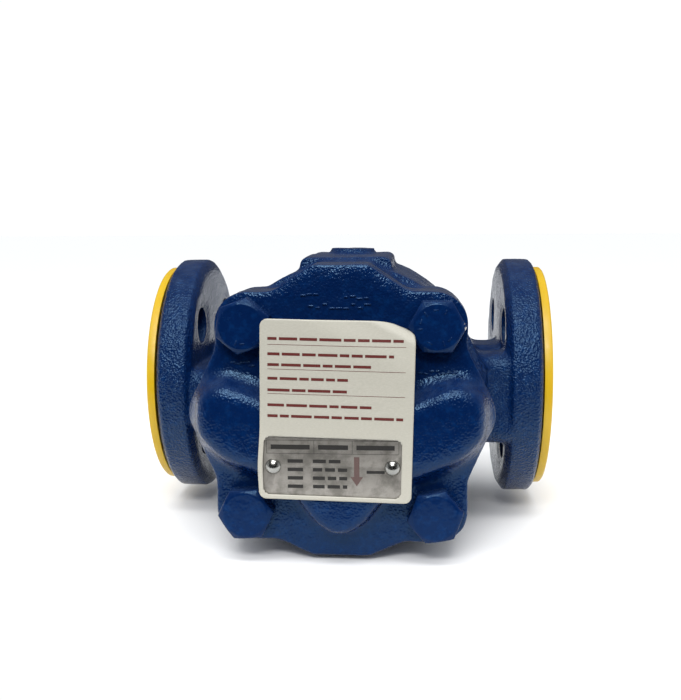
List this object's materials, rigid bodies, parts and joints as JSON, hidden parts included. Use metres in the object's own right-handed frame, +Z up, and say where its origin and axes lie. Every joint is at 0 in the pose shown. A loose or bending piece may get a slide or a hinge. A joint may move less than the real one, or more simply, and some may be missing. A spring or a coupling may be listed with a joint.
{
  "type": "steam trap",
  "caption": "Flanged ball-float steam trap: cast body with side flanges, bolted front cover carrying the float valve and air vent, nameplate, card label and yellow flange caps.",
  "frame": {"origin": "centre of the inlet pipe flange's bolting face, on the pipe axis", "axes": "+X along the pipe from inlet to outlet, -Y towards the cover, nameplate and label, +Z up"},
  "size_m": [0.1543, 0.1378, 0.1066],
  "materials": {
    "casting_paint": "gloss navy blue paint over a pebbled iron casting",
    "bolt_paint": "gloss navy blue paint over steel bolts, chipped at the corners",
    "graphite": "matt pressed graphite",
    "plate_steel": "dull etched stainless steel sheet",
    "rivet_steel": "polished round heads",
    "label_card": "cream coated card with maroon rules and bars",
    "cap_plastic": "moulded yellow polyethylene",
    "stainless": "machined stainless steel",
    "float_steel": "pressed and polished stainless steel"
  },
  "bodies": {
    "trap": {"body": "casting_paint", "cover": "casting_paint", "cover_gasket": "graphite", "cover_bolts": "bolt_paint", "nameplate": "plate_steel", "nameplate_rivets": "rivet_steel", "instruction_label": "label_card", "valve_seat": "stainless", "valve_seat_gasket": "graphite", "erosion_deflector": "stainless", "pivot_frame": "stainless", "frame_screws": "stainless", "pivot_pin": "stainless", "pivot_pin_clips": "stainless", "vent_seat": "stainless", "vent_seat_gasket": "graphite", "vent_capsule": "float_steel", "vent_clip": "stainless", "vent_clip_screws": "stainless"},
    "float_arm": {"float_lever": "stainless", "ball_float": "float_steel", "valve_head": "stainless", "valve_head_clip": "stainless"},
    "vent_stem": {"vent_valve": "stainless"},
    "inlet_cap": {"inlet_flange_cap": "cap_plastic"},
    "outlet_cap": {"outlet_flange_cap": "cap_plastic"}
  },
  "joints": [
    {"name": "float_lift", "type": "hinge", "parent": "trap", "child": "float_arm", "pos_m": [0.073, -0.046, -0.006], "axis": [1, 0, 0], "range_deg": [0, 22]},
    {"name": "vent_travel", "type": "slide", "parent": "trap", "child": "vent_stem", "axis": [0, -1, 0], "range_m": [0, 0.0015], "stiffness_N_per_m": 150},
    {"name": "inlet_cap_pull", "type": "slide", "parent": "trap", "child": "inlet_cap", "axis": [-1, 0, 0], "range_m": [0, 0.06]},
    {"name": "outlet_cap_pull", "type": "slide", "parent": "trap", "child": "outlet_cap", "axis": [1, 0, 0], "range_m": [0, 0.06]}
  ]
}
